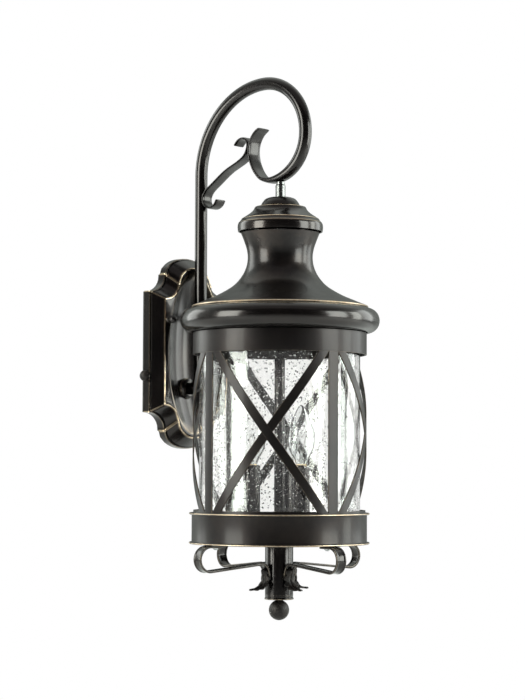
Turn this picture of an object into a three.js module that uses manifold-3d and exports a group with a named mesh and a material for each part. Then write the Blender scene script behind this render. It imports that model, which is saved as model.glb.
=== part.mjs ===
// Outdoor wall lantern: a round glass lantern hung from a scrolled tube arm on a scalloped wall plate.
// Millimetres, +Z up. Origin: centre of the wall plate's back, on the wall.
// The room is at -Y and +X is to the right, seen from the room.

import * as THREE from 'three';
import { mergeVertices } from 'three/addons/utils/BufferGeometryUtils.js';
import Module from 'manifold-3d';

const wasm = await Module();
wasm.setup();

// ---------------------------------------------------------------- driving dimensions

const GAP = 0.3; // between pieces that touch
const EASE = 1; // between a flat disc and the round wall it sits in
const ROUND = 32; // facets round the large turned pieces
const SMALL_ROUND = 18; // facets round the small turned pieces

const AXIS_OUT = 178; // lantern axis, out from the wall
const LIFT = 2; // height of the lantern's datum above the plate's centre
const LANTERN_TURN = THREE.MathUtils.degToRad(-12); // how far the cage has been turned on its stem

const PLATE = {
  backY: -2.3, flangeY: -13, frontY: -28, wall: 2.5, ledge: 1.4,
  back: { half: 71, side: 80, scallopX: 28, scallopZ: 22, step: 2.5, arch: 22.5 },
  front: { half: 57, side: 70, scallopX: 25, scallopZ: 19, step: 2, arch: 22 },
};
const DISH = { halfWidth: 49, halfHeight: 106, depth: 19 };
const NUT = { x: 52, z: 42, ball: 5.3, length: 15, stud: 2 };
const KNOB = { x: 71, y: -8, z: -32, ball: 7.4, reach: 9.6, screw: 18 };
const BRACKET = { half: 60, width: 24, thick: 2.5, spine: 30, lowZ: -32, ear: 14, lug: 18, groundZ: 20 };

const ARM = {
  radius: 8.2, drop: -47, back: 140, bend: 17,
  loopTop: 345.3, loopCentre: 28, noseRadius: 58, noseCentre: 16,
  strapWidth: 23, strapThick: 3.4, flatFrom: 0.8, flatTo: 0.93,
};
const BOSS = { radius: 10, flange: 13.5, stub: 5, seat: 14.8, end: 19.5 };
const BRACE = { width: 19, thick: 3 };

const STEM = { radius: 6.5, top: 219, shoulder: 10.5 };
const CAP = { top: 194, edge: 183.4, topRadius: 15, edgeRadius: 25.3 };
const STEPPED = {
  rim: 54.5, rimTop: 160.3, rimBottom: 149.5, shelf: 50, shelfZ: 165.6, lip: 33, lipZ: 181.3,
};
const SHEET = 1.6; // thickness of the spun and rolled sheet metal
const ROOF = { top: 147.4, lip: 113.6, lipZ: 53.2 };
const RIM = { outer: 128, top: 50, bottom: 19.4, inner: 113 };

const CAGE = {
  outer: 111.5, thick: 2, bandTop: 18.8, bandBottom: -9.5, foot: -210.4, bar: 15, strap: 11.5,
};
const HOOP = { outer: 110, thick: 1.7, top: -207.6, bottom: -226 };
const GLASS = { outer: 103, thick: 3, top: 10, bottom: -210.8 };
const RING = { outer: 112, lip: 115.6, top: -210.8, bottom: -250.8, lipHeight: 2.6 };
const PAN = { radius: 107.3, top: -212.8, thick: 1.6 };
const LID = { bottom: 14.6 };
const RIVET_Z = -218;
const ROD = { radius: 6.75, thread: 4, top: 160, end: -331 };

const LAMP = {
  count: 3, pitch: 37, turn: 11, sleeve: 10.8, sleeveTop: -151, socket: 9.2, socketDepth: 27,
  base: 6.7, bulb: 17.5, bulbTop: -74,
};

const COLUMN = { radius: 18, wall: 2, bottom: -319.4, floor: 2.2, flange: 18.9 };
const BALL = { radius: 13, z: -334.8 };
const STRAP = { width: 15, thick: 3, top: -251.1, reach: 128, drop: 34, run: 33, inner: 92, screw: 99 };

const FINISH = {
  bronze: { color: 0x231c18, roughness: 0.36, metalness: 0.85 },
  gilt: { color: 0x3a2c22, roughness: 0.34, metalness: 0.9 },
  nickel: { color: 0xb9b6ae, roughness: 0.2, metalness: 1 },
  zinc: { color: 0x8f9196, roughness: 0.4, metalness: 0.9 },
  brass: { color: 0xb08a4a, roughness: 0.35, metalness: 1 },
  foam: { color: 0x202020, roughness: 0.9, metalness: 0 },
  rubber: { color: 0x2a2a2a, roughness: 0.8, metalness: 0 },
  porcelain: { color: 0xe9e6de, roughness: 0.35, metalness: 0 },
  glass: { color: 0xdfe8ea, roughness: 0.05, metalness: 0 },
};

// ---------------------------------------------------------------- solids and booleans

function signedVolume(position, index) {
  const a = new THREE.Vector3();
  const b = new THREE.Vector3();
  const c = new THREE.Vector3();
  let volume = 0;
  for (let i = 0; i < index.length; i += 3) {
    a.fromBufferAttribute(position, index[i]);
    b.fromBufferAttribute(position, index[i + 1]);
    c.fromBufferAttribute(position, index[i + 2]);
    volume += a.dot(b.cross(c)) / 6;
  }
  return volume;
}

// A closed mesh with shared vertices, no folded faces, and its faces pointing out.
function closed(geometry) {
  const bare = geometry.index ? geometry.toNonIndexed() : geometry.clone();
  bare.deleteAttribute('normal');
  bare.deleteAttribute('uv');
  const merged = mergeVertices(bare, 1e-4);
  const source = Array.from(merged.index.array);
  const index = [];
  for (let i = 0; i < source.length; i += 3) {
    const [p, q, r] = source.slice(i, i + 3);
    if (p !== q && q !== r && r !== p) index.push(p, q, r);
  }
  if (signedVolume(merged.attributes.position, index) < 0) index.reverse();
  merged.setIndex(index);
  return merged;
}

function toManifold(geometry) {
  const solid = closed(geometry);
  return new wasm.Manifold(new wasm.Mesh({
    numProp: 3,
    vertProperties: new Float32Array(solid.attributes.position.array),
    triVerts: new Uint32Array(solid.index.array),
  }));
}

function toGeometry(manifold) {
  const mesh = manifold.getMesh();
  const geometry = new THREE.BufferGeometry();
  const vertices = Float32Array.from(mesh.vertProperties);
  geometry.setAttribute('position', new THREE.BufferAttribute(vertices, 3));
  geometry.setIndex(Array.from(mesh.triVerts));
  return geometry;
}

function join(...geometries) {
  return toGeometry(geometries.map(toManifold).reduce((whole, next) => whole.add(next)));
}

function cut(geometry, ...tools) {
  const whole = toManifold(geometry);
  return toGeometry(tools.map(toManifold).reduce((rest, tool) => rest.subtract(tool), whole));
}

// ---------------------------------------------------------------- shape helpers

// Turned about Z from [radius, height] points that start and end on the axis.
function turned(points, facets = SMALL_ROUND) {
  const profile = points.map(([r, z]) => new THREE.Vector2(r, z));
  return closed(new THREE.LatheGeometry(profile, facets).rotateX(Math.PI / 2));
}

// Turned about Z from a closed loop of [radius, height] points clear of the axis.
function turnedRing(points, facets = ROUND) {
  return turned([...points, points[0]], facets);
}

function tubeRing(inner, outer, low, high, facets = ROUND) {
  return turnedRing([[inner, low], [outer, low], [outer, high], [inner, high]], facets);
}

function rod(radius, low, high, facets = SMALL_ROUND) {
  return turned([[0, low], [radius, low], [radius, high], [0, high]], facets);
}

// A shell of sheet metal: the outer line, then the same line moved in by the sheet's thickness.
function sheetLoop(outer, thick) {
  const inner = outer.map((point, i) => {
    const before = outer[Math.max(i - 1, 0)];
    const after = outer[Math.min(i + 1, outer.length - 1)];
    const along = new THREE.Vector2(after[0] - before[0], after[1] - before[1]).normalize();
    return [point[0] + along.y * thick, point[1] - along.x * thick];
  });
  return [...outer, ...inner.reverse()];
}

function arcPoints(centre, radius, from, to, steps) {
  return Array.from({ length: steps + 1 }, (_, i) => {
    const angle = THREE.MathUtils.degToRad(from + (to - from) * i / steps);
    return [centre[0] + radius * Math.cos(angle), centre[1] + radius * Math.sin(angle)];
  });
}

function smooth(points, divisions) {
  const curve = new THREE.SplineCurve(points.map(([x, y]) => new THREE.Vector2(x, y)));
  return curve.getPoints(divisions).map((p) => [p.x, p.y]);
}

function hexNut(bore, low, high) {
  const corner = (bore + GAP) / Math.cos(Math.PI / 6);
  return tubeRing(corner, corner + 3.6, low, high, 6);
}

function box(width, depth, height, x, y, z) {
  return new THREE.BoxGeometry(width, depth, height).translate(x, y, z);
}

// Turned about an axis that points out from the wall (-Y).
function outward(geometry, x, y, z) {
  return geometry.rotateX(Math.PI / 2).translate(x, y, z);
}

// A bar laid along a line of [a, z] points: its width across the line's plane, its thickness in it.
// sectionAt(t) gives [width, thickness] at the fraction t of its length.
// sides is 4 for a strap, or more for a round bar.
function barAlong(line, sectionAt, sides) {
  const centre = line.map(([a, z]) => new THREE.Vector2(a, z));
  const section = new THREE.Shape();
  for (let i = 0; i < sides; i++) {
    const angle = 2 * Math.PI * (i + 0.5) / sides;
    const reach = sides === 4 ? Math.SQRT1_2 : 0.5;
    section[i ? 'lineTo' : 'moveTo'](Math.cos(angle) * reach, Math.sin(angle) * reach);
  }
  const steps = line.length - 1;
  const travelled = [0];
  for (let i = 1; i <= steps; i++) travelled.push(travelled[i - 1] + centre[i].distanceTo(centre[i - 1]));
  const geometry = new THREE.ExtrudeGeometry(section, { depth: steps, steps, bevelEnabled: false });
  const position = geometry.attributes.position;
  for (let i = 0; i < position.count; i++) {
    const step = Math.round(position.getZ(i));
    const before = centre[Math.max(step - 1, 0)];
    const after = centre[Math.min(step + 1, steps)];
    const along = after.clone().sub(before).normalize();
    const [width, thick] = sectionAt(travelled[step] / travelled[steps]);
    const side = position.getX(i) * width;
    const rise = position.getY(i) * thick;
    position.setXYZ(i, side, centre[step].x - along.y * rise, centre[step].y + along.x * rise);
  }
  return closed(geometry);
}

// The same line of points with a nearly even spacing.
function evenly(line, spacing) {
  const path = new THREE.CurvePath();
  for (let i = 1; i < line.length; i++) {
    const from = new THREE.Vector2(...line[i - 1]);
    const to = new THREE.Vector2(...line[i]);
    if (from.distanceTo(to) > 1e-6) path.add(new THREE.LineCurve(from, to));
  }
  const count = Math.round(path.getLength() / spacing);
  return path.getSpacedPoints(count).map((p) => [p.x, p.y]);
}

// ---------------------------------------------------------------- wall side

// The plate's outline: straight sides, scalloped corners, a small step and an arched top and bottom.
function plateOutline({ half, side, scallopX, scallopZ, step, arch }, inset = 0) {
  const w = half - inset;
  const s = side - inset * 0.6;
  const neck = half - scallopX - inset;
  const neckZ = side + scallopZ - inset;
  const archX = neck - step;
  const archZ = neckZ + step;
  const shape = new THREE.Shape();
  const corner = (sx, sz, from, to) => {
    const a = THREE.MathUtils.degToRad(from);
    const b = THREE.MathUtils.degToRad(to);
    shape.absellipse(sx * w, sz * neckZ, w - neck, neckZ - s, a, b, false, 0);
  };
  const crown = (sz, from, to) => {
    shape.absellipse(0, sz * archZ, archX, arch, from, to, true, 0);
  };
  shape.moveTo(-w, -s);
  shape.lineTo(-w, s);
  corner(-1, 1, -90, 0);
  shape.lineTo(-neck, archZ);
  shape.lineTo(-archX, archZ);
  crown(1, Math.PI, 0);
  shape.lineTo(neck, archZ);
  shape.lineTo(neck, neckZ);
  corner(1, 1, 180, 270);
  shape.lineTo(w, -s);
  corner(1, -1, 90, 180);
  shape.lineTo(neck, -archZ);
  shape.lineTo(archX, -archZ);
  crown(-1, 0, -Math.PI);
  shape.lineTo(-neck, -archZ);
  shape.lineTo(-neck, -neckZ);
  corner(-1, -1, 0, 90);
  return shape;
}

const CURVE_STEPS = 4; // steps in each rounded stretch of the plate's outline

// A solid between two matching outlines, from depth y0 to depth y1.
function between(outlineBack, outlineFront, y0, y1) {
  const back = outlineBack.getPoints(CURVE_STEPS);
  const front = outlineFront.getPoints(CURVE_STEPS);
  const key = (x, z) => `${x.toFixed(3)},${z.toFixed(3)}`;
  const place = new Map(back.map((p, i) => [key(p.x, p.y), i]));
  const geometry = new THREE.ExtrudeGeometry(new THREE.Shape(back), { depth: 1, bevelEnabled: false });
  const position = geometry.attributes.position;
  for (let i = 0; i < position.count; i++) {
    const t = position.getZ(i);
    const at = place.get(key(position.getX(i), position.getY(i)));
    const x = THREE.MathUtils.lerp(back[at].x, front[at].x, t);
    const z = THREE.MathUtils.lerp(back[at].y, front[at].y, t);
    position.setXYZ(i, x, THREE.MathUtils.lerp(y0, y1, t), z);
  }
  return closed(geometry);
}

// A shallow oval bowl, sunk into the plate's front and grown by the given amount.
function dish(grow) {
  const { halfWidth, halfHeight, depth } = DISH;
  const sphere = (halfWidth ** 2 + depth ** 2) / (2 * depth);
  const stretch = halfHeight / halfWidth;
  const bowl = new THREE.SphereGeometry(sphere + grow, 28, 16);
  return bowl.scale(1, 1, stretch).translate(0, PLATE.frontY + depth - sphere, 0);
}

function wallPlate() {
  const { backY, flangeY, frontY, wall, ledge, back, front } = PLATE;
  const flange = between(plateOutline(back), plateOutline(back), backY, flangeY);
  const body = between(plateOutline(back, ledge), plateOutline(front), flangeY + 1, frontY);
  const inside = plateOutline(back, wall + ledge);
  const hollow = join(
    between(inside, inside, backY + 1, flangeY),
    between(inside, plateOutline(front, wall), flangeY, frontY + wall),
  );
  const hollowBehindDish = cut(hollow, dish(wall));
  const holes = [-NUT.x, NUT.x].map((x) => outward(rod(NUT.stud + 0.6, -40, 40, 12), x, 0, NUT.z));
  const padBack = -frontY - DISH.depth - 2;
  const pad = outward(rod(BOSS.flange + 1, padBack, BOSS.seat, 24), 0, 0, ARM.drop);
  const armHole = outward(rod(BOSS.stub + 0.4, -40, 40, 16), 0, 0, ARM.drop);
  const sides = rod(3, -100, 100, 12).rotateY(Math.PI / 2).translate(0, KNOB.y, KNOB.z);
  const shell = cut(join(flange, body), dish(0), hollowBehindDish, ...holes, sides);
  return cut(join(shell, pad), armHole);
}

function wallGasket() {
  const { back } = PLATE;
  const outer = between(plateOutline(back, 1), plateOutline(back, 1), 0, PLATE.backY + GAP);
  const inner = between(plateOutline(back, 9), plateOutline(back, 9), 1, PLATE.backY - 1);
  return cut(outer, inner);
}

function mountingBracket() {
  const { half, width, thick, spine, lowZ, ear, lug, groundZ } = BRACKET;
  const y = -thick / 2;
  const upper = box(half * 2, thick, width, 0, y, NUT.z);
  const back = box(spine, thick, NUT.z - lowZ, 0, y, (NUT.z + lowZ) / 2);
  const lower = box(half * 2, thick, lug, 0, y, lowZ);
  const ears = [-1, 1].map((side) => box(thick, ear, lug, side * half, -ear / 2, lowZ));
  const earHoles = rod(2.6, -100, 100, 12).rotateY(Math.PI / 2).translate(0, KNOB.y, lowZ);
  const studHoles = [-NUT.x, NUT.x].map((x) => outward(rod(NUT.stud + 0.3, -9, 9, 12), x, y, NUT.z));
  const slots = [-26, 26].map((x) => box(16, thick * 3, 5, x, y, NUT.z));
  const groundHole = outward(rod(2.3, -9, 9, 12), 0, y, groundZ);
  return cut(join(upper, back, lower, ...ears), earHoles, ...studHoles, ...slots, groundHole);
}

// A threaded stud with a flat head against the wall.
function bracketStud() {
  const reach = -PLATE.frontY + 8;
  return turned([[0, 0.1], [NUT.stud, 0.1], [NUT.stud, reach], [0, reach]], 12);
}

function groundScrew() {
  return turned([[0, 0.4], [2, 0.4], [2, 3.1], [4, 3.1], [3.4, 5.2], [0, 5.6]], 12);
}

// Ball nut: a short neck that bears on the plate, and a ball with a blind bore for the stud.
function wallNut() {
  const { ball, length, stud } = NUT;
  const centre = length - ball;
  const round = arcPoints([0, centre], ball, -45, 90, 6).slice(0, -1);
  const bore = stud + 0.4;
  return turned([
    [0, 9.4], [bore, 9.4], [bore, GAP], [4.4, GAP], [4.4, 2], [3.4, 3.4], ...round, [0, length],
  ], 14);
}

// Side knob: a ball, flat where it meets the plate, on a screw that clamps the plate to the bracket's ear.
function sideKnob() {
  const { ball, reach, screw } = KNOB;
  const centre = reach - ball;
  const start = THREE.MathUtils.radToDeg(Math.asin((GAP - centre) / ball));
  const round = arcPoints([0, centre], ball, start, 90, 7).slice(0, -1);
  return turned([[0, -screw], [2.2, -screw], [2.2, GAP], ...round, [0, reach]], 14);
}

function armBoss() {
  const { radius, flange, stub, seat, end } = BOSS;
  return turned([
    [0, 3.2], [stub, 3.2], [stub, seat + GAP], [flange, seat + GAP], [flange, seat + 1.6],
    [radius, seat + 3], [radius, end], [0, end],
  ], 20);
}

// ---------------------------------------------------------------- arm

// Centre line of the arm as [distance behind the lantern's axis, height above the lantern's datum].
function armLine() {
  const { drop, back, bend, loopTop, loopCentre, noseRadius, noseCentre } = ARM;
  const start = AXIS_OUT - BOSS.end - GAP;
  const low = drop - LIFT;
  const shoulder = back - loopCentre;
  const loopRadius = loopCentre - noseCentre + noseRadius;
  const loopZ = loopTop - loopRadius;
  const curl = smooth([
    [noseCentre, loopZ - noseRadius], [27, 220.4], [36, 229], [42.6, 240.5], [46, 252], [46.4, 262],
    [43.6, 272], [37.5, 280.5], [29.5, 286],
  ], 16);
  return [
    [start, low],
    ...arcPoints([back + bend, low + bend], bend, 270, 180, 6),
    ...arcPoints([loopCentre, loopTop - shoulder], shoulder, 0, 90, 14),
    ...arcPoints([loopCentre, loopZ], loopRadius, 90, 180, 10).slice(1),
    ...arcPoints([noseCentre, loopZ], noseRadius, 180, 270, 9).slice(1),
    ...curl.slice(1),
  ];
}

// Round tube that flattens to a strap towards the inner curl.
function armSection(t) {
  const flat = THREE.MathUtils.smoothstep(t, ARM.flatFrom, ARM.flatTo);
  return [
    THREE.MathUtils.lerp(ARM.radius * 2, ARM.strapWidth, flat),
    THREE.MathUtils.lerp(ARM.radius * 2, ARM.strapThick, flat),
  ];
}

function armTube() {
  return barAlong(armLine(), armSection, 10);
}

// S-scroll strap that ties the tube to the inner curl.
function scrollBrace() {
  const line = smooth([
    [105, 199.5], [109.5, 193], [117, 189.6], [124.6, 191.8], [129.4, 198.6], [129.2, 206.6],
    [123.6, 213.8], [112, 221.8], [91, 235.6], [68, 246], [57, 253], [51.9, 261.5], [51.2, 268.6],
    [54.8, 274.6], [61, 276.4], [68, 273.8], [73.6, 268],
  ], 48);
  return barAlong(evenly(line, 6), () => [BRACE.width, BRACE.thick], 4);
}

// Stem with a shoulder that carries the lantern's cap, its upper end shaped to the underside of the arm.
function hangStem() {
  const { radius, top, shoulder } = STEM;
  const seat = CAP.top - SHEET - GAP;
  const stem = turned([
    [0, seat - 5], [shoulder, seat - 5], [shoulder, seat], [radius, seat], [radius, top], [0, top],
  ], 20);
  const clearOfArm = (t) => armSection(t).map((size) => size + 2 * GAP);
  return cut(stem, barAlong(armLine(), clearOfArm, 10), box(40, 40, 20, 0, 0, top + 10 - GAP));
}

// ---------------------------------------------------------------- caps and roof

function topCap() {
  const { top, edge, topRadius, edgeRadius } = CAP;
  const hole = STEM.radius + 0.6;
  const outer = [[hole, top], [topRadius, top], [20.4, 191], [23.6, 186.6], [edgeRadius, edge]];
  return turnedRing(sheetLoop(outer, SHEET), 24);
}

function steppedCap() {
  const { rim, rimTop, rimBottom, shelf, shelfZ, lip, lipZ } = STEPPED;
  const seat = CAP.edge - 1.1;
  const outer = [
    [CAP.edgeRadius - 5, seat], [27, seat], [lip, lipZ], [lip + 0.6, lipZ - 1.6],
    [39, 173.4], [46.5, 167.6], [shelf, shelfZ], [shelf + 1, shelfZ - 2], [rim, rimTop],
    [rim + 0.6, (rimTop + rimBottom) / 2], [rim, rimBottom],
  ];
  return turnedRing(sheetLoop(outer, SHEET), 28);
}

// Neck and flare of the roof, down to the rolled rim.
function roofLine() {
  const { top, lip, lipZ } = ROOF;
  const flare = smooth([
    [50.6, top], [47, 138.5], [43.2, 127], [41.8, 116], [43.6, 104], [49.4, 91.6], [60.6, 79],
    [79.5, 67.5], [100, 58.6], [lip, lipZ],
  ], 11);
  return [[ROD.thread + 0.5, top], ...flare];
}

function roof() {
  return turnedRing(sheetLoop(roofLine(), SHEET));
}

// Rolled rim round the eave, open underneath.
function roofRim() {
  const { outer, top, bottom, inner } = RIM;
  const middle = (top + bottom) / 2;
  const round = arcPoints([outer - 14, middle], 14, 84, -84, 6);
  const roll = round.map(([r, z]) => [r, middle + (z - middle) * 1.09]);
  return turnedRing(sheetLoop([[inner - 5.6, top + 1], ...roll, [inner - 0.2, bottom]], SHEET));
}

function topPlate() {
  return tubeRing(ROD.thread + 0.5, CAGE.outer - CAGE.thick - EASE, LID.bottom, LID.bottom + SHEET);
}

// ---------------------------------------------------------------- cage, ring and glass

// Rolls flat sheet work round the lantern: x becomes distance round the sheet, y stays radial, z is height.
function rolled(geometry, radius) {
  const position = geometry.attributes.position;
  for (let i = 0; i < position.count; i++) {
    const angle = position.getX(i) / radius;
    const reach = radius + position.getY(i);
    position.setXYZ(i, reach * Math.sin(angle), -reach * Math.cos(angle), position.getZ(i));
  }
  return geometry;
}

// One cut-out sheet: a band, four bars, four crosses and a hoop that hides inside the bottom ring.
// Each cross fills the opening between two bars: its straps' outer edges run into the corners.
function cage() {
  const { outer, thick, bandTop, bandBottom, foot, bar, strap } = CAGE;
  const middle = outer - thick / 2;
  const quarter = Math.PI * middle / 2;
  const height = bandBottom - foot;
  const centreZ = (bandBottom + foot) / 2;
  const opening = quarter - bar;
  const chord = strap / Math.sin(Math.atan2(height, opening - strap));
  const slope = Math.atan2(height, opening - chord);
  const reach = Math.hypot(height, opening - chord) + strap;
  const pieces = [tubeRing(outer - thick, outer, bandBottom, bandTop, 40)];
  for (let side = 0; side < 4; side++) {
    const upright = new THREE.BoxGeometry(bar, thick - 0.1, height + 6, 2, 1, 1);
    pieces.push(rolled(upright.translate(side * quarter, 0, centreZ + 3), middle));
    for (const lean of [-1, 1]) {
      const diagonal = new THREE.BoxGeometry(reach, thick - 0.2, strap, 8, 1, 1).rotateY(lean * slope);
      pieces.push(rolled(diagonal.translate((side + 0.5) * quarter, 0, centreZ), middle));
    }
  }
  const frame = join(...pieces);
  const below = tubeRing(outer - 20, outer + 20, foot - 40, foot, 12);
  const above = tubeRing(outer - 20, outer + 20, bandTop - 0.01, bandTop + 20, 12);
  const trimmed = cut(frame, below, above);
  return join(trimmed, tubeRing(HOOP.outer - HOOP.thick, HOOP.outer, HOOP.bottom, HOOP.top, 40));
}

function glassCylinder() {
  const { outer, thick, top, bottom } = GLASS;
  return tubeRing(outer - thick, outer, bottom, top, 40);
}

function glassSeal(low, high) {
  return tubeRing(GLASS.outer - GLASS.thick - 0.5, GLASS.outer + 1, low, high, 36);
}

function bottomRing() {
  const { outer, lip, top, bottom, lipHeight } = RING;
  const inner = outer - SHEET;
  const edge = lip - 0.7;
  const bulge = (low) => [[edge, low], [lip, low + lipHeight / 2], [edge, low + lipHeight]];
  return turnedRing([
    [inner, bottom], ...bulge(bottom), [outer, bottom + lipHeight],
    [outer, top - lipHeight], ...bulge(top - lipHeight), [inner, top],
  ], 40);
}

function plateRing(radius, low) {
  return tubeRing(ROD.thread + 0.5, radius, low, low + PAN.thick);
}

// Pipe between the plates, threaded where it passes through them and into the ball.
function centreRod() {
  const { radius, thread, top, end } = ROD;
  return turned([
    [0, end], [thread, end], [thread, PAN.top + GAP], [radius, PAN.top + GAP],
    [radius, LID.bottom - GAP], [thread, LID.bottom - GAP], [thread, top], [0, top],
  ], 20);
}

// A rivet from inside the hoop, with its head under the ring's upper lip.
function cageRivet() {
  const head = HOOP.outer - HOOP.thick - GAP;
  return turned([[0, head - 1.4], [2.6, head - 1], [3, head], [0, head]], 12).rotateX(Math.PI / 2);
}

// ---------------------------------------------------------------- lamps

function candleSleeve() {
  const { sleeve, sleeveTop } = LAMP;
  return tubeRing(sleeve - 1.2, sleeve, PAN.top + GAP, sleeveTop, 20);
}

function lampSocket() {
  const { socket, socketDepth, base, sleeveTop } = LAMP;
  const bore = base + 0.6;
  const floor = sleeveTop - socketDepth;
  return turned([
    [0, PAN.top + GAP], [socket, PAN.top + GAP], [socket, sleeveTop + 1], [bore, sleeveTop + 1],
    [bore, floor], [0, floor],
  ], 20);
}

function bulbBase() {
  const { base, sleeveTop, socketDepth } = LAMP;
  const tip = sleeveTop - socketDepth + 0.6;
  return turned([
    [0, tip], [2.4, tip], [4.2, tip + 2.6], [base - 0.4, tip + 4.4], [base, tip + 6], [base, sleeveTop + 1],
    [base - 0.4, sleeveTop + 1.6], [0, sleeveTop + 1.6],
  ], 18);
}

// Candle-shaped glass, open at the neck where it is cemented into its base.
function bulbGlass() {
  const { bulb, bulbTop, sleeveTop } = LAMP;
  const neck = sleeveTop + 1.6 + GAP;
  const height = bulbTop - neck;
  const outer = smooth([
    [6.6, neck], [9.6, neck + height * 0.1], [15.4, neck + height * 0.24], [bulb, neck + height * 0.4],
    [15.8, neck + height * 0.58], [10.6, neck + height * 0.78], [4.6, neck + height * 0.95],
  ], 8);
  const inner = outer.map(([r, z]) => [r - 0.9, z]).reverse();
  return turned([[0, bulbTop - 1.4], ...inner, ...outer, [0, bulbTop]], 16);
}

// ---------------------------------------------------------------- column, ball and lower scrolls

function column() {
  const { radius, wall, bottom, floor, flange } = COLUMN;
  const top = STRAP.top;
  const bore = ROD.thread + 0.5;
  return turnedRing([
    [bore, bottom - floor], [flange - 0.4, bottom - floor], [flange, bottom - floor / 2],
    [flange - 0.4, bottom], [radius, bottom + 0.6], [radius, top],
    [radius - wall, top], [radius - wall, bottom], [bore, bottom],
  ], 28);
}

// Ball nut on the rod's end: it holds the column, plates and scrolls together.
function ballFinial() {
  const { radius, z } = BALL;
  const bore = ROD.thread + 0.6;
  const neck = COLUMN.bottom - COLUMN.floor - GAP;
  const start = THREE.MathUtils.radToDeg(Math.asin((neck - z) / radius));
  const round = arcPoints([0, z], radius, start, -90, 10).slice(0, -1);
  return turned([[0, ROD.end - 1], [bore, ROD.end - 1], [bore, neck], ...round, [0, z - radius]], 24);
}

// Side view of a lower scroll as [radius, height]: flat under the ring, round the loop,
// back in, and down the column.
function scrollLine() {
  const { thick, top, reach, drop, run, inner } = STRAP;
  const high = top - thick / 2;
  const loop = (drop - thick) / 2;
  const turn = reach - thick / 2 - loop;
  const low = high - 2 * loop;
  const heel = smooth([
    [run, low + 7.6], [27.5, low + 7.4], [22.6, low + 3.4], [20, low - 4], [19.8, low - 12],
  ], 10);
  return [
    [inner, high], ...arcPoints([turn, high - loop], loop, 90, -90, 12), ...heel,
  ];
}

function strapScroll() {
  return barAlong(evenly(scrollLine(), 5.5), () => [STRAP.width, STRAP.thick], 4);
}

// Cast leaf on the outside of the scroll's foot, opening to a broad lifted tip.
function scrollLeaf() {
  const low = STRAP.top - STRAP.drop;
  const line = smooth([
    [26.4, low + 1.6], [23.8, low - 4], [23, low - 10], [24.2, low - 14.5], [28.2, low - 18.8],
    [35.5, low - 21.8], [47, low - 23.5],
  ], 14);
  const section = (t) => [10 + 16 * Math.sin(Math.PI * Math.min(t * 1.15, 1)) ** 0.8, 2.8];
  return barAlong(line, section, 4);
}

function strapScrew() {
  const under = STRAP.top - STRAP.thick - GAP;
  return turned([[0, under - 2.6], [2.6, under - 2], [3.8, under], [0, under]], 12);
}

// ---------------------------------------------------------------- assembly

function piece(name, geometry, finish) {
  const mesh = new THREE.Mesh(geometry, new THREE.MeshStandardMaterial(FINISH[finish]));
  mesh.name = name;
  return mesh;
}

// Turns a side view drawn as [distance out, height] to face a given way round the lantern.
function facing(mesh, degrees) {
  mesh.rotation.z = THREE.MathUtils.degToRad(degrees);
  return mesh;
}

function wallSide() {
  const group = new THREE.Group();
  group.add(piece('mounting_bracket', mountingBracket(), 'zinc'));
  group.add(piece('ground_screw', outward(groundScrew(), 0, 0, BRACKET.groundZ), 'brass'));
  group.add(piece('wall_gasket', wallGasket(), 'foam'));
  group.add(piece('wall_plate', wallPlate(), 'bronze'));
  for (const [side, sign] of [['left', -1], ['right', 1]]) {
    group.add(piece(`bracket_stud_${side}`, outward(bracketStud(), sign * NUT.x, 0, NUT.z), 'zinc'));
    group.add(piece(`wall_nut_${side}`, outward(wallNut(), sign * NUT.x, PLATE.frontY, NUT.z), 'bronze'));
    const knob = piece(`side_knob_${side}`, sideKnob().rotateY(sign * Math.PI / 2), 'bronze');
    knob.position.set(sign * KNOB.x, KNOB.y, KNOB.z);
    group.add(knob);
  }
  group.add(piece('arm_boss', outward(armBoss(), 0, 0, ARM.drop), 'bronze'));
  group.add(piece('arm_lock_nut', outward(hexNut(BOSS.stub, 3.3, 6.3), 0, 0, ARM.drop), 'zinc'));
  return group;
}

function armSide() {
  const group = new THREE.Group();
  group.position.set(0, -AXIS_OUT, LIFT);
  group.add(piece('arm_tube', armTube(), 'bronze'));
  group.add(piece('scroll_brace', scrollBrace(), 'bronze'));
  group.add(piece('hang_stem', hangStem(), 'nickel'));
  return group;
}

function lamps() {
  const group = new THREE.Group();
  for (let i = 0; i < LAMP.count; i++) {
    const lamp = new THREE.Group();
    const angle = THREE.MathUtils.degToRad(LAMP.turn + 360 * i / LAMP.count);
    lamp.position.set(LAMP.pitch * Math.sin(angle), -LAMP.pitch * Math.cos(angle), 0);
    lamp.add(piece(`candle_sleeve_${i + 1}`, candleSleeve(), 'bronze'));
    lamp.add(piece(`lamp_socket_${i + 1}`, lampSocket(), 'porcelain'));
    lamp.add(piece(`bulb_base_${i + 1}`, bulbBase(), 'brass'));
    lamp.add(piece(`bulb_glass_${i + 1}`, bulbGlass(), 'glass'));
    group.add(lamp);
  }
  return group;
}

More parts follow.
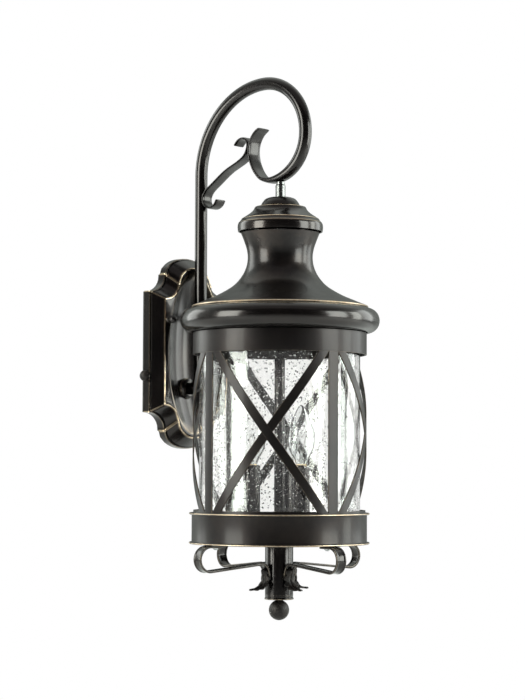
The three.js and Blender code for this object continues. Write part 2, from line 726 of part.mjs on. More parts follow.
function lantern() {
  const group = new THREE.Group();
  group.position.set(0, -AXIS_OUT, LIFT);
  group.rotation.z = LANTERN_TURN;
  group.add(piece('top_cap', topCap(), 'bronze'));
  group.add(piece('stepped_cap', steppedCap(), 'gilt'));
  group.add(piece('roof', roof(), 'bronze'));
  group.add(piece('roof_rim', roofRim(), 'bronze'));
  group.add(piece('top_plate', topPlate(), 'bronze'));
  group.add(piece('cage', cage(), 'bronze'));
  group.add(piece('glass_cylinder', glassCylinder(), 'glass'));
  group.add(piece('glass_top_seal', glassSeal(GLASS.top + GAP, 14.3), 'rubber'));
  group.add(piece('glass_bottom_seal', glassSeal(PAN.top + GAP, GLASS.bottom - GAP), 'rubber'));
  group.add(piece('bottom_ring', bottomRing(), 'gilt'));
  group.add(piece('lamp_pan', plateRing(PAN.radius, PAN.top - PAN.thick), 'bronze'));
  group.add(piece('bottom_plate', plateRing(RING.outer - SHEET - EASE, RING.bottom), 'bronze'));
  group.add(piece('center_rod', centreRod(), 'bronze'));
  group.add(piece('roof_nut', hexNut(ROD.thread, ROOF.top + GAP, ROOF.top + 6), 'zinc'));
  const underPan = PAN.top - PAN.thick;
  group.add(piece('pan_nut', hexNut(ROD.thread, underPan - 6, underPan - GAP), 'zinc'));
  group.add(piece('column', column(), 'bronze'));
  group.add(piece('ball_finial', ballFinial(), 'bronze'));
  for (let i = 0; i < 4; i++) {
    group.add(facing(piece(`strap_scroll_${i + 1}`, strapScroll(), 'bronze'), i * 90 + 180));
    group.add(facing(piece(`scroll_leaf_${i + 1}`, scrollLeaf(), 'bronze'), i * 90 + 180));
    const angle = THREE.MathUtils.degToRad(i * 90);
    const screw = strapScrew().translate(STRAP.screw * Math.sin(angle), -STRAP.screw * Math.cos(angle), 0);
    group.add(piece(`strap_screw_${i + 1}`, screw, 'zinc'));
    group.add(facing(piece(`cage_rivet_${i + 1}`, cageRivet().translate(0, 0, RIVET_Z), 'zinc'), i * 90));
  }
  group.add(lamps());
  return group;
}

const group = new THREE.Group();
group.add(wallSide(), armSide(), lantern());

export default group;
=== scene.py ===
# Looks of the outdoor wall lantern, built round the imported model.
# Shapes are drawn in millimetres and turned into metres when a piece is made.
import math

import bmesh
import bpy
from mathutils import Matrix, Vector


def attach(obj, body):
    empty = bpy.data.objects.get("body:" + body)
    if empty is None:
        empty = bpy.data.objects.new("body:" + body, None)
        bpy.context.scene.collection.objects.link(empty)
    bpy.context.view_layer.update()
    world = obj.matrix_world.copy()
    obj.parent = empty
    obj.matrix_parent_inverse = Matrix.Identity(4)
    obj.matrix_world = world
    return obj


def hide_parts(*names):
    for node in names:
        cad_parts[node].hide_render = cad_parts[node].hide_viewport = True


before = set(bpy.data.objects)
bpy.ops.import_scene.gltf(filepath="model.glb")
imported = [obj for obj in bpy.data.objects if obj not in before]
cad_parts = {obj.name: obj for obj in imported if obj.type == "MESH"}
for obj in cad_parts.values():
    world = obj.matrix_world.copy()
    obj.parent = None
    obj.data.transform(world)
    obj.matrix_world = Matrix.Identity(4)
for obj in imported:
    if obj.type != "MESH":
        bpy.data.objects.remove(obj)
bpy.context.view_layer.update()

MM = 0.001
AXIS_OUT = 178.0  # lantern axis, out from the wall
LIFT = 2.0  # lantern datum above the plate's centre
TURN = math.radians(-12)  # the lantern's turn on its stem
FINE = 144  # facets round the large turned pieces
MEDIUM = 72
SMALL = 40


# ------------------------ shapes


class Shape:
    """Vertices in millimetres, each with a wear value, and faces."""

    def __init__(self):
        self.points = []
        self.faces = []

    def add_rings(self, rings, along=False, caps=False):
        """Joins closed rings of (x, y, z, wear) points with quads; along also joins the last to the first."""
        first = len(self.points)
        count = len(rings[0])
        for ring in rings:
            self.points.extend(ring)
        for i in range(len(rings) if along else len(rings) - 1):
            a = first + i * count
            b = first + (i + 1) % len(rings) * count
            for k in range(count):
                m = (k + 1) % count
                self.faces.append((a + k, a + m, b + m, b + k))
        if caps:
            last = first + (len(rings) - 1) * count
            self.faces.append(tuple(range(first + count - 1, first - 1, -1)))
            self.faces.append(tuple(range(last, last + count)))
        return self

    def moved(self, matrix):
        self.points = [(*(matrix @ Vector(p[:3])), p[3]) for p in self.points]
        return self

    def join(self, *others):
        for other in others:
            first = len(self.points)
            self.points.extend(other.points)
            self.faces.extend(tuple(i + first for i in face) for face in other.faces)
        return self


def lerp(a, b, t):
    return a + (b - a) * t


def smoothstep(t):
    t = min(max(t, 0.0), 1.0)
    return t * t * (3 - 2 * t)


def soften(points, closed=True, steps=4):
    """Rounds a line of (a, b, radius, wear) points: each corner with a radius becomes a small curve."""
    made = []
    count = len(points)
    for i, (a, b, radius, wear) in enumerate(points):
        inside = closed or 0 < i < count - 1
        if radius <= 0 or not inside:
            made.append((a, b, wear))
            continue
        here = Vector((a, b))
        before = Vector(points[i - 1][:2])
        after = Vector(points[(i + 1) % count][:2])
        back = (before - here).normalized() * min(radius, (before - here).length * 0.48)
        ahead = (after - here).normalized() * min(radius, (after - here).length * 0.48)
        for k in range(steps + 1):
            t = k / steps
            p = here + back * (1 - t) ** 2 + ahead * t * t
            made.append((p.x, p.y, wear if 0 < k < steps else 0.0))
    return made


def spline(points, steps):
    """Catmull-Rom curve through points of any size, with the given steps between them."""
    made = []
    last = len(points) - 1
    for i in range(last):
        p0, p1, p2, p3 = (points[min(max(k, 0), last)] for k in (i - 1, i, i + 1, i + 2))
        for k in range(steps):
            t = k / steps
            made.append(tuple(
                0.5 * (2 * b + (c - a) * t + (2 * a - 5 * b + 4 * c - d) * t * t
                       + (3 * b - a - 3 * c + d) * t ** 3)
                for a, b, c, d in zip(p0, p1, p2, p3)
            ))
    made.append(tuple(points[-1]))
    return made


def arc(centre, radius, start, end, steps):
    made = []
    for i in range(steps + 1):
        angle = math.radians(lerp(start, end, i / steps))
        made.append((centre[0] + radius * math.cos(angle), centre[1] + radius * math.sin(angle)))
    return made


def evenly(line, spacing):
    """The same line with nearly even spacing."""
    lengths = [0.0]
    for p, q in zip(line, line[1:]):
        lengths.append(lengths[-1] + math.dist(p, q))
    count = max(2, round(lengths[-1] / spacing))
    made = []
    k = 0
    for i in range(count + 1):
        want = lengths[-1] * i / count
        while k < len(line) - 2 and lengths[k + 1] < want:
            k += 1
        span = lengths[k + 1] - lengths[k] or 1.0
        t = (want - lengths[k]) / span
        made.append(tuple(lerp(a, b, t) for a, b in zip(line[k], line[k + 1])))
    return made


def turned(profile, facets=FINE, closed=False):
    """Turned about Z from (radius, height, wear) points."""
    shape = Shape()
    rings = []
    for r, z, wear in profile:
        ring = []
        for k in range(facets):
            angle = 2 * math.pi * k / facets
            ring.append((r * math.sin(angle), -r * math.cos(angle), z, wear))
        rings.append(ring)
    return shape.add_rings(rings, along=closed)


def plain(points):
    """The same points with no wear."""
    return [(*p, 0.0) for p in points]


def sheet(outer, thick):
    """A closed loop of sheet metal: the outer line, then the same line moved in by its thickness."""
    inner = []
    for i, point in enumerate(outer):
        before = outer[max(i - 1, 0)]
        after = outer[min(i + 1, len(outer) - 1)]
        along = Vector((after[0] - before[0], after[1] - before[1])).normalized()
        inner.append((point[0] + along.y * thick, point[1] - along.x * thick, 0.0))
    return outer + inner[::-1]


def domed_section(width, thick, flat=0.55):
    """A strap with rounded faces: thickest in the middle."""
    made = []
    for k in range(32):
        angle = 2 * math.pi * (k + 0.5) / 32
        c, s = math.cos(angle), math.sin(angle)
        side = math.copysign(abs(c) ** flat, c) * width / 2
        rise = math.copysign(abs(s) ** 0.8, s) * thick / 2
        made.append((side, rise, 0.0))
    return made


def channel_section(width, thick, depth=0.75):
    """A strap with rolled edges: both faces dip a little between them."""
    w, t = width / 2, thick / 2
    half = [
        (-w, -t, 0.9, 0.16), (-w + 1.9, -t, 0.8, 0), (-w + 3.4, depth - t, 1.2, 0),
        (w - 3.4, depth - t, 1.2, 0), (w - 1.9, -t, 0.8, 0), (w, -t, 0.9, 0.16),
    ]
    return soften(half + [(-x, -y, r, wear) for x, y, r, wear in half])


def along_line(line, section_at):
    """Sweeps a section along a line of (distance out, height) points.

    section_at(t) gives the section's (side, rise, wear) points at that share of the line.
    """
    rings = []
    last = len(line) - 1
    side, out = Vector((1, 0, 0)), Vector((0, 1, 0))
    travelled = [0.0]
    for p, q in zip(line, line[1:]):
        travelled.append(travelled[-1] + math.dist(p, q))
    for i, (a, z) in enumerate(line):
        before, after = line[max(i - 1, 0)], line[min(i + 1, last)]
        along = Vector((after[0] - before[0], after[1] - before[1])).normalized()
        here = out * a + Vector((0, 0, z))
        rise = out * -along.y + Vector((0, 0, along.x))
        ring = []
        for s, u, wear in section_at(travelled[i] / travelled[-1]):
            ring.append((*(here + side * s + rise * u), wear))
        rings.append(ring)
    return Shape().add_rings(rings, caps=True)


def drawn_in(section_at, side, rise, ends=(0.0, 1.0)):
    """Section maker that shrinks a swept bar's end rings, so that its ends look rounded."""
    def at(t):
        across, up = (side, rise) if t in ends else (1.0, 1.0)
        return [(a * across, u * up, wear) for a, u, wear in section_at(t)]
    return at


# ------------------------ placing

AT_ARM = Matrix.Translation((0, -AXIS_OUT, LIFT))
AT_LANTERN = AT_ARM @ Matrix.Rotation(TURN, 4, "Z")


def outward(x, y, z):
    """Turns a piece drawn about Z so that it points out from the wall at that place."""
    return Matrix.Translation((x, y, z)) @ Matrix.Rotation(math.radians(90), 4, "X")


def make(name, shape, material, body, replaces=(), sharp=34):
    """A mesh piece of the object from a shape in millimetres."""
    mesh = bpy.data.meshes.new(name)
    b = bmesh.new()
    wear = b.verts.layers.float.new("wear")
    verts = []
    for x, y, z, w in shape.points:
        v = b.verts.new((x * MM, y * MM, z * MM))
        v[wear] = w
        verts.append(v)
    for face in shape.faces:
        b.faces.new([verts[i] for i in face])
    bmesh.ops.remove_doubles(b, verts=b.verts, dist=2e-6)
    bmesh.ops.dissolve_degenerate(b, edges=b.edges, dist=1e-7)
    bmesh.ops.recalc_face_normals(b, faces=b.faces)
    limit = math.radians(sharp)
    for face in b.faces:
        face.smooth = True
    for edge in b.edges:
        if len(edge.link_faces) == 2 and edge.calc_face_angle(0.0) > limit:
            edge.smooth = False
    b.to_mesh(mesh)
    b.free()
    made = bpy.data.objects.new(name, mesh)
    bpy.context.scene.collection.objects.link(made)
    mesh.materials.append(material)
    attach(made, body)
    if replaces:
        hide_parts(*([replaces] if isinstance(replaces, str) else replaces))
    return made


# ------------------------ materials


class Finish:
    """A node material being built."""

    def __init__(self, name):
        self.material = bpy.data.materials.new(name)
        self.material.use_nodes = True
        self.nodes = self.material.node_tree.nodes
        self.links = self.material.node_tree.links
        self.nodes.clear()
        self.out = self.add("ShaderNodeOutputMaterial")
        self.surface = self.add("ShaderNodeBsdfPrincipled")
        self.links.new(self.surface.outputs["BSDF"], self.out.inputs["Surface"])
        self.place = self.add("ShaderNodeTexCoord").outputs["Object"]

    def add(self, kind, **settings):
        node = self.nodes.new(kind)
        for key, value in settings.items():
            setattr(node, key, value)
        return node

    def put(self, value, socket):
        if isinstance(value, bpy.types.NodeSocket):
            self.links.new(value, socket)
        else:
            socket.default_value = value

    def set(self, **values):
        for key, value in values.items():
            self.put(value, self.surface.inputs[key.replace("_", " ")])
        return self

    def stretched(self, scale):
        node = self.add("ShaderNodeMapping")
        self.links.new(self.place, node.inputs["Vector"])
        node.inputs["Scale"].default_value = scale
        return node.outputs["Vector"]

    def noise(self, scale, detail=3.0, rough=0.55, where=None):
        node = self.add("ShaderNodeTexNoise")
        self.links.new(where or self.place, node.inputs["Vector"])
        node.inputs["Scale"].default_value = scale
        node.inputs["Detail"].default_value = detail
        node.inputs["Roughness"].default_value = rough
        return node.outputs["Fac"]

    def cells(self, scale, where=None):
        node = self.add("ShaderNodeTexVoronoi")
        self.links.new(where or self.place, node.inputs["Vector"])
        node.inputs["Scale"].default_value = scale
        return node.outputs["Distance"]

    def spread(self, value, low, high, to_low=0.0, to_high=1.0):
        node = self.add("ShaderNodeMapRange")
        self.put(value, node.inputs["Value"])
        for key, number in zip(("From Min", "From Max", "To Min", "To Max"), (low, high, to_low, to_high)):
            node.inputs[key].default_value = number
        return node.outputs["Result"]

    def maths(self, kind, a, b):
        node = self.add("ShaderNodeMath", operation=kind)
        self.put(a, node.inputs[0])
        self.put(b, node.inputs[1])
        return node.outputs["Value"]

    def blend_colour(self, share, a, b):
        node = self.add("ShaderNodeMix", data_type="RGBA")
        colours = [s for s in node.inputs if s.type == "RGBA"]
        self.put(share, node.inputs[0])
        self.put((*a, 1.0) if isinstance(a, tuple) else a, colours[0])
        self.put((*b, 1.0) if isinstance(b, tuple) else b, colours[1])
        return [s for s in node.outputs if s.type == "RGBA"][0]

    def worn(self):
        node = self.add("ShaderNodeAttribute", attribute_type="GEOMETRY")
        node.attribute_name = "wear"
        return node.outputs["Fac"]

    def bump(self, height, strength, distance, under=None):
        node = self.add("ShaderNodeBump")
        self.links.new(height, node.inputs["Height"])
        node.inputs["Strength"].default_value = strength
        node.inputs["Distance"].default_value = distance
        if under is not None:
            self.links.new(under, node.inputs["Normal"])
        return node.outputs["Normal"]


BLACK_BROWN = (0.0150, 0.0125, 0.0128)
WARM_BROWN = (0.043, 0.033, 0.0285)
COPPER = (0.68, 0.49, 0.33)
PALE_GOLD = (0.88, 0.74, 0.56)


def bronze(name, wear_low=0.30, wear_high=0.62, rough=(0.18, 0.26), warm=0.3, coat=0.35):
    """Oil-rubbed bronze: near black, browner in patches, with copper showing where edges are rubbed."""
    f = Finish(name)
    patches = f.noise(22.0, 4.0, 0.6)
    mottle = f.noise(310.0, 3.0, 0.6)
    streaks = f.noise(90.0, 4.0, 0.65, f.stretched((1.0, 1.0, 0.12)))
    warmth = f.maths("MULTIPLY", f.spread(patches, 0.38, 0.72), warm)
    ground = f.blend_colour(warmth, BLACK_BROWN, WARM_BROWN)
    ground = f.blend_colour(f.spread(mottle, 0.60, 0.80, 0.0, 0.2), ground, WARM_BROWN)
    rubbed = f.maths("MULTIPLY", f.worn(), f.spread(f.noise(75.0, 5.0, 0.7), wear_low, wear_high))
    metal = f.blend_colour(f.spread(mottle, 0.35, 0.65), COPPER, PALE_GOLD)
    colour = f.blend_colour(rubbed, ground, metal)
    gloss = f.spread(f.maths("ADD", streaks, f.maths("MULTIPLY", mottle, 0.5)), 0.45, 1.05, *rough)
    bumps = f.bump(f.noise(620.0, 2.0, 0.5), 0.018, 0.0003)
    bumps = f.bump(patches, 0.04, 0.002, bumps)
    f.set(Base_Color=colour, Metallic=f.spread(rubbed, 0.0, 1.0, 0.86, 1.0), Roughness=gloss, Normal=bumps)
    f.set(Coat_Weight=coat, Coat_Roughness=0.14, Specular_IOR_Level=0.5)
    return f.material


def matte_bronze(name):
    """The cast ball and knobs: the same finish, rougher, with a sandy skin."""
    f = Finish(name)
    sand = f.noise(900.0, 4.0, 0.7)
    patches = f.noise(120.0, 3.0, 0.6)
    colour = f.blend_colour(f.spread(patches, 0.4, 0.7), (0.015, 0.013, 0.013), (0.036, 0.029, 0.026))
    colour = f.blend_colour(f.spread(sand, 0.60, 0.75, 0.0, 0.6), colour, (0.085, 0.070, 0.062))
    bumps = f.bump(sand, 0.35, 0.0006)
    f.set(Base_Color=colour, Metallic=0.7, Roughness=f.spread(sand, 0.3, 0.7, 0.40, 0.56), Normal=bumps)
    return f.material


def bright_nickel():
    """Brushed nickel of the hanging stem, with fine turning lines."""
    f = Finish("bright_nickel")
    lines = f.noise(260.0, 2.0, 0.5, f.stretched((0.2, 0.2, 6.0)))
    haze = f.noise(160.0)
    colour = f.blend_colour(f.spread(haze, 0.35, 0.7), (0.19, 0.19, 0.188), (0.13, 0.13, 0.129))
    f.set(Base_Color=colour, Metallic=1.0, Roughness=f.spread(lines, 0.3, 0.7, 0.26, 0.36))
    return f.material


def zinc():
    """Bright zinc plate, with a fine spangle and duller patches."""
    f = Finish("zinc_steel")
    spangle = f.cells(420.0)
    haze = f.noise(70.0, 4.0, 0.6)
    colour = f.blend_colour(f.spread(spangle, 0.0, 0.7), (0.60, 0.61, 0.62), (0.46, 0.47, 0.49))
    colour = f.blend_colour(f.spread(haze, 0.5, 0.75, 0.0, 0.7), colour, (0.52, 0.50, 0.44))
    f.set(Base_Color=colour, Metallic=1.0, Roughness=f.spread(haze, 0.3, 0.7, 0.28, 0.45))
    f.set(Normal=f.bump(f.noise(500.0), 0.08, 0.0003))
    return f.material


def brass():
    f = Finish("brass")
    haze = f.noise(190.0, 4.0, 0.6)
    colour = f.blend_colour(f.spread(haze, 0.35, 0.7), (0.80, 0.58, 0.26), (0.52, 0.36, 0.16))
    f.set(Base_Color=colour, Metallic=1.0, Roughness=f.spread(haze, 0.3, 0.7, 0.22, 0.38))
    f.set(Normal=f.bump(f.noise(700.0), 0.08, 0.0002))
    return f.material


def socket_plastic():
    f = Finish("socket_plastic")
    haze = f.noise(240.0, 3.0)
    colour = f.blend_colour(f.spread(haze, 0.3, 0.7), (0.030, 0.029, 0.028), (0.060, 0.057, 0.053))
    f.set(Base_Color=colour, Metallic=0.0, Roughness=f.spread(haze, 0.3, 0.7, 0.38, 0.55))
    f.set(Normal=f.bump(f.noise(1100.0), 0.15, 0.0002))
    return f.material


def rubber():
    """Soft foam and rubber seals, dull and finely pitted."""
    f = Finish("rubber_seal")
    pits = f.cells(900.0)
    haze = f.noise(60.0, 3.0)
    colour = f.blend_colour(f.spread(haze, 0.35, 0.7), (0.016, 0.016, 0.016), (0.038, 0.037, 0.036))
    f.set(Base_Color=colour, Metallic=0.0, Roughness=f.spread(pits, 0.0, 0.6, 0.75, 0.92))
    f.set(Normal=f.bump(pits, 0.4, 0.0005))
    return f.material


def let_lamps_through(f):
    """Glass doesn't darken what is behind it: rays to the lamps pass straight through."""
    path = f.add("ShaderNodeLightPath")
    clear = f.add("ShaderNodeBsdfTransparent")
    mix = f.add("ShaderNodeMixShader")
    f.links.new(path.outputs["Is Shadow Ray"], mix.inputs[0])
    f.links.new(f.surface.outputs["BSDF"], mix.inputs[1])
    f.links.new(clear.outputs["BSDF"], mix.inputs[2])
    f.links.new(mix.outputs["Shader"], f.out.inputs["Surface"])


def seeded_glass():
    """Clear glass with small bubbles and gentle waves."""
    f = Finish("seeded_glass")
    small = f.spread(f.cells(215.0), 0.0, 0.22, 1.0, 0.0)
    tall = f.spread(f.cells(75.0, f.stretched((1.0, 1.0, 0.55))), 0.0, 0.10, 1.0, 0.0)
    waves = f.noise(16.0, 2.0, 0.5, f.stretched((1.0, 1.0, 0.4)))
    bumps = f.bump(waves, 0.35, 0.004)
    bumps = f.bump(f.maths("MAXIMUM", small, tall), 1.0, 0.0012, bumps)
    tint = f.blend_colour(f.spread(waves, 0.35, 0.65), (0.99, 0.99, 0.98), (0.97, 0.972, 0.958))
    f.set(Base_Color=tint, Metallic=0.0, Roughness=0.0, IOR=1.45, Transmission_Weight=1.0, Normal=bumps)
    let_lamps_through(f)
    return f.material


def bulb_glass():
    f = Finish("clear_bulb_glass")
    waves = f.noise(40.0, 2.0)
    tint = f.blend_colour(f.spread(waves, 0.35, 0.65), (0.985, 0.99, 0.99), (0.96, 0.97, 0.97))
    f.set(Base_Color=tint, Metallic=0.0, Roughness=0.0, IOR=1.45, Transmission_Weight=1.0)
    f.set(Normal=f.bump(waves, 0.1, 0.001))
    let_lamps_through(f)
    return f.material


def filament_metal():
    f = Finish("filament_metal")
    haze = f.noise(900.0)
    colour = f.blend_colour(f.spread(haze, 0.3, 0.7), (0.32, 0.30, 0.28), (0.18, 0.17, 0.16))
    f.set(Base_Color=colour, Metallic=1.0, Roughness=f.spread(haze, 0.3, 0.7, 0.3, 0.5))
    return f.material


BRONZE = bronze("dark_bronze")
BRONZE_FLAT = bronze("dark_bronze_strap", 0.36, 0.66, (0.34, 0.44), warm=0.2, coat=0.12)
BRONZE_RING = bronze("dark_bronze_ring", 0.12, 0.42, (0.32, 0.42), warm=0.4, coat=0.14)
BRONZE_GILT = bronze("dark_bronze_rubbed", wear_low=0.12, wear_high=0.42, warm=0.5)
BRONZE_BELL = bronze("dark_bronze_bell", 0.12, 0.42, (0.26, 0.34), warm=0.9, coat=0.24)
BRONZE_MATTE = matte_bronze("dark_bronze_cast")
NICKEL = bright_nickel()
ZINC = zinc()
BRASS = brass()
PLASTIC = socket_plastic()
RUBBER = rubber()
SEEDED = seeded_glass()
BULB_GLASS = bulb_glass()
FILAMENT = filament_metal()


# ------------------------ wall plate

PLATE = {"back_y": -2.3, "flange_y": -13.0, "front_y": -28.0, "wall": 2.5, "ledge": 1.4}
BACK = {"half": 71, "side": 80, "scallop_x": 28, "scallop_z": 22, "step": 2.5, "arch": 22.5}
FRONT = {"half": 57, "side": 70, "scallop_x": 25, "scallop_z": 19, "step": 2, "arch": 22}
DISH = {"half_width": 49.0, "half_height": 106.0, "depth": 19.0}
CURVE = 14  # steps in each rounded stretch of the outline
DISH_RINGS = 15
CORNER_WEAR = 0.8
ARM_ROOT_Z = -47  # height of the arm's root on the plate
NUT_AT = (52, -28, 42)  # the right ball nut: across, out from the wall, and up
KNOB_AT = (71, -8, -32)


def plate_outline(spec, inset=0.0):
    """Points round the plate: straight sides, scalloped corners, a small step, and arched ends."""
    half, side = spec["half"] - inset, spec["side"] - inset * 0.6
    neck = spec["half"] - spec["scallop_x"] - inset
    neck_z = spec["side"] + spec["scallop_z"] - inset
    arch_x, arch_z = neck - spec["step"], neck_z + spec["step"]
    upper = [(half, side * k / 10) for k in range(10)] + [(half, side - 2.0), (half, side - 0.9)]
    for k in (0, 0.3, 0.65, *range(1, CURVE), CURVE - 0.35, CURVE):
        angle = math.radians(270 - 90 * k / CURVE)
        upper.append((half + (half - neck) * math.cos(angle), neck_z + (neck_z - side) * math.sin(angle)))
    upper.append((neck, lerp(neck_z, arch_z, 0.5)))
    upper.append((neck, arch_z))
    upper.append((lerp(neck, arch_x, 0.5), arch_z))
    for k in range(CURVE + 6):
        angle = math.radians(90 * k / (CURVE + 6))
        upper.append((arch_x * math.cos(angle), arch_z + spec["arch"] * math.sin(angle)))
    right_top = upper + [(0.0, arch_z + spec["arch"])]
    left_top = [(-x, z) for x, z in reversed(right_top[:-1])]
    top = right_top + left_top
    return top + [(-x, -z) for x, z in top[1:-1]]


def plate_edge(base, grow):
    """Moves an outline out by grow along its own normal, softly."""
    made = []
    count = len(base)
    for i, (x, z) in enumerate(base):
        before, after = Vector(base[i - 1]), Vector(base[(i + 1) % count])
        along = (after - before).normalized()
        made.append((x + along.y * grow, z - along.x * grow))
    return made


def wall_plate():
    back_y, flange_y, front_y = PLATE["back_y"], PLATE["flange_y"], PLATE["front_y"]
    wall = PLATE["wall"]
    rim = plate_outline(BACK)
    low = plate_outline(BACK, PLATE["ledge"])
    face = plate_outline(FRONT)
    count = len(rim)
    sharp = []
    for k in range(count):
        before, here, after = (Vector(face[i % count]) for i in (k - 1, k, k + 1))
        sharp.append((here - before).angle(after - here) > math.radians(35))
    corner = []
    for k in range(count):
        beside = ((k - 1) % count, (k + 1) % count)
        near = any(sharp[i] and math.dist(face[i], face[k]) < 1.1 for i in beside)
        corner.append(1.0 if sharp[k] else 0.8 if near else 0.0)

    def ring(outline, y, wear=0.0, corner_wear=0.0):
        return [(x, y, z, max(wear, corner_wear * worn)) for (x, z), worn in zip(outline, corner)]

    def mixed(t, grow=0.0):
        both = [(lerp(a[0], b[0], t), lerp(a[1], b[1], t)) for a, b in zip(low, face)]
        return plate_edge(both, grow)

    def bowl(share, lower=0.0):
        """Ring of the dish at that share of its radius, from the angle of each outline point."""
        w, h, depth = DISH["half_width"], DISH["half_height"], DISH["depth"]
        sphere = (w * w + depth * depth) / (2 * depth)
        made = []
        for x, z in face:
            angle = math.atan2(z / h, x / w)
            sag = math.sqrt(sphere ** 2 - (w * share) ** 2) - (sphere - depth)
            across, up = w * share * math.cos(angle), h * share * math.sin(angle)
            made.append((across, front_y + sag + lower, up, 0.0))
        return made

    lip = plate_edge(face, -1.4)
    rings = [
        ring(plate_edge(rim, -0.7), back_y),
        ring(rim, back_y - 0.7, 0.0, CORNER_WEAR),
        ring(rim, flange_y + 1.6, 0.0, CORNER_WEAR),
        ring(rim, flange_y + 0.9, 0.12, CORNER_WEAR),
        ring(plate_edge(rim, -0.5), flange_y + 0.25, 0.3, CORNER_WEAR),
        ring(plate_edge(rim, -1.0), flange_y, 0.0, CORNER_WEAR),
        ring(plate_edge(low, 0.2), flange_y, 0.0, CORNER_WEAR),
        ring(plate_edge(low, -0.9), flange_y + 0.5, 0.0, CORNER_WEAR),
        ring(plate_edge(low, -0.9), flange_y - 0.7, 0.0, CORNER_WEAR),
    ]
    for t, grow, wear in (
        (0.06, -0.5, 0.0), (0.10, 0.0, 0.0), (0.5, 0.25, 0.0),
        (0.90, 0.0, 0.0), (0.955, 0.0, 0.5), (0.985, -0.2, 1.0),
    ):
        rings.append(ring(mixed(t, grow), lerp(flange_y, front_y, t), wear, CORNER_WEAR))
    rings.append(ring(plate_edge(face, -0.75), front_y, 0.9))
    rings.append(ring(lip, front_y, 0.0))
    both = zip(ring(lip, front_y), bowl(1.03))
    rings.append([tuple(lerp(a, b, 0.5) for a, b in zip(p, q)) for p, q in both])
    for share, lower, wear in ((1.03, 0.0, 0.0), (1.012, 0.15, 0.2), (0.99, 0.5, 0.1)):
        base = bowl(min(share, 1.0))
        scale = share / min(share, 1.0)
        rings.append([(x * scale, front_y + lower, z * scale, wear) for x, y, z, w in base])
    shares = [0.97 * (1 - k / DISH_RINGS) for k in range(1, DISH_RINGS)]
    rings += [bowl(share) for share in shares]
    inner = [bowl(share, wall) for share in reversed(shares)]
    inner.append([(x, front_y + wall, z, 0.0) for x, z in plate_edge(face, -wall)])
    for t in (0.75, 0.5, 0.25):
        inner.append(ring(mixed(t, -wall), lerp(flange_y, front_y, t)))
    inner.append(ring(plate_edge(low, -wall), flange_y))
    inner.append(ring(plate_edge(rim, -PLATE["ledge"] - wall), back_y))
    shape = Shape().add_rings(rings + inner, along=True)
    # A fan closes the dish's floor, outside and inside, in place of the join between its smallest rings.
    floor_ring = len(rings) - 1
    del shape.faces[floor_ring * count:(floor_ring + 1) * count]
    for at, behind in ((floor_ring, 0.0), (floor_ring + 1, wall)):
        middle = len(shape.points)
        shape.points.append((0.0, front_y + DISH["depth"] + behind, 0.0, 0.0))
        shape.faces += [(at * count + k, at * count + (k + 1) % count, middle) for k in range(count)]
    # A raised pad lies under the arm's collar.
    pad = turned(soften([
        (0, 9, 0, 0), (14.2, 9, 0, 0), (14.2, 14.6, 0.9, 0.2), (0, 14.6, 0, 0),
    ], closed=False), SMALL)
    pad.moved(outward(0, 0, ARM_ROOT_Z))
    return shape.join(pad)


def wall_nut():
    ball, length = 5.3, 15.0
    centre = length - ball
    profile = soften([
        (0, 0.3, 0, 0), (4.4, 0.3, 0.4, 0), (4.4, 2.0, 0.5, 0.1), (3.3, 3.4, 0.5, 0),
    ], closed=False)
    profile += plain(arc((0, centre), ball, -50, 90, 16))
    return turned(profile, SMALL)


def side_knob():
    profile = soften([
        (0, -17.8, 0, 0), (2.1, -17.8, 0.3, 0), (2.1, 0.35, 0, 0), (6.6, 0.35, 0, 0),
    ], closed=False)
    profile += plain(arc((0, 2.2), 7.4, -13.5, 90, 22))
    return turned(profile, SMALL)


make("wall_plate_face", wall_plate(), BRONZE_GILT, "wall_mount", "wall_plate")
for side_name, sign in (("left", -1), ("right", 1)):
    across, out, up = NUT_AT
    node = f"wall_nut_{side_name}"
    nut = wall_nut().moved(outward(sign * across, out, up))
    make(f"ball_nut_{side_name}", nut, BRONZE, node, node)
    across, out, up = KNOB_AT
    node = f"side_knob_{side_name}"
    sideways = Matrix.Rotation(math.radians(90 * sign), 4, "Y")
    knob = side_knob().moved(Matrix.Translation((sign * across, out, up)) @ sideways)
    make(f"knob_{side_name}", knob, BRONZE_MATTE, node, node)

BOSS_PROFILE = [
    (0, 3.2, 0, 0), (5, 3.2, 0.4, 0), (5, 15.1, 0, 0), (13.5, 15.1, 0.3, 0), (13.5, 16.4, 0.5, 0.2),
    (11.2, 17.2, 0.6, 0), (10, 17.9, 0.5, 0), (10, 19.4, 0.5, 0.2), (0, 19.4, 0, 0),
]
boss = turned(soften(BOSS_PROFILE, closed=False), MEDIUM).moved(outward(0, 0, ARM_ROOT_Z))
make("arm_collar", boss, BRONZE, "wall_mount", "arm_boss")


# ------------------------ arm

ARM = {"radius": 8.2, "width": 23.0, "thick": 3.4, "flat_from": 0.80, "flat_to": 0.93}


def arm_line():
    """Centre line of the arm as (distance behind the lantern's axis, height above its datum)."""
    curl = spline([
        (16, 217.3), (27, 220.4), (36, 229), (42.6, 240.5), (46, 252), (46.4, 262),
        (43.6, 272), (37.5, 280.5), (29.5, 286),
    ], 14)
    line = [(158.2, -49.0)]
    line += arc((157, -32), 17, 270, 180, 14)
    line += arc((28, 233.3), 112, 0, 90, 60)
    line += arc((28, 275.3), 70, 90, 180, 50)[1:]
    line += arc((16, 275.3), 58, 180, 270, 40)[1:]
    return evenly(line + curl[1:], 2.4)


